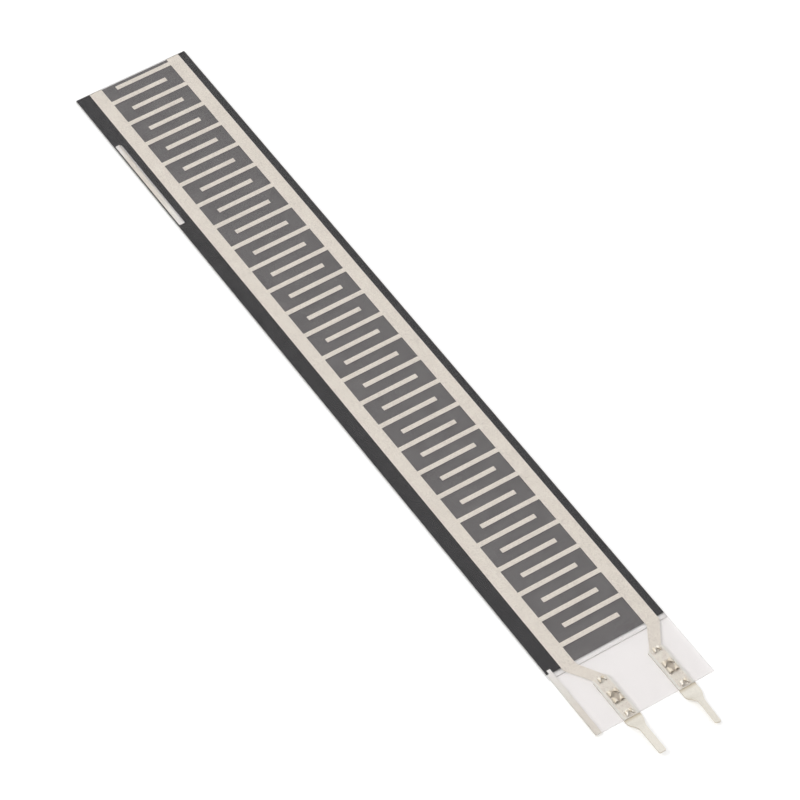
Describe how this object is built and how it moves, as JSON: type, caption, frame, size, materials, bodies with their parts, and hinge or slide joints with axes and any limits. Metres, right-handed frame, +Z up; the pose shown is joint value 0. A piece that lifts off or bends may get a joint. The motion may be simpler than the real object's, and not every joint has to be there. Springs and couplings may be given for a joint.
{
  "type": "strip force sensing resistor",
  "caption": "Flat film strip that senses pressure: interleaved silver combs over a dark resistive field, black edges, clear tail and crimped solder pins.",
  "frame": {"origin": "centre of the footprint, on the underside of the lower film", "axes": "+X across the strip to the narrow black margin, +Y along the strip from the solder pins to the far end, +Z up through the upper film"},
  "size_m": [0.015, 0.1162, 0.0009],
  "materials": {
    "clear_film": "clear polyester film, slightly milky",
    "carbon_ink": "printed carbon resistive ink, matt",
    "black_adhesive": "black adhesive spacer",
    "silver_ink": "printed silver ink, warm matt grey with a fine grain",
    "pale_adhesive": "pale adhesive strip",
    "tinned_contact": "tin plated stamped metal, satin"
  },
  "bodies": {
    "root": {"upper_film": "clear_film", "lower_film": "clear_film", "resistive_layer": "carbon_ink", "edge_strip": "pale_adhesive", "spacer_left": "black_adhesive", "spacer_right": "black_adhesive", "electrode_left": "silver_ink", "electrode_right": "silver_ink", "terminal_left": "tinned_contact", "terminal_right": "tinned_contact"}
  },
  "joints": []
}
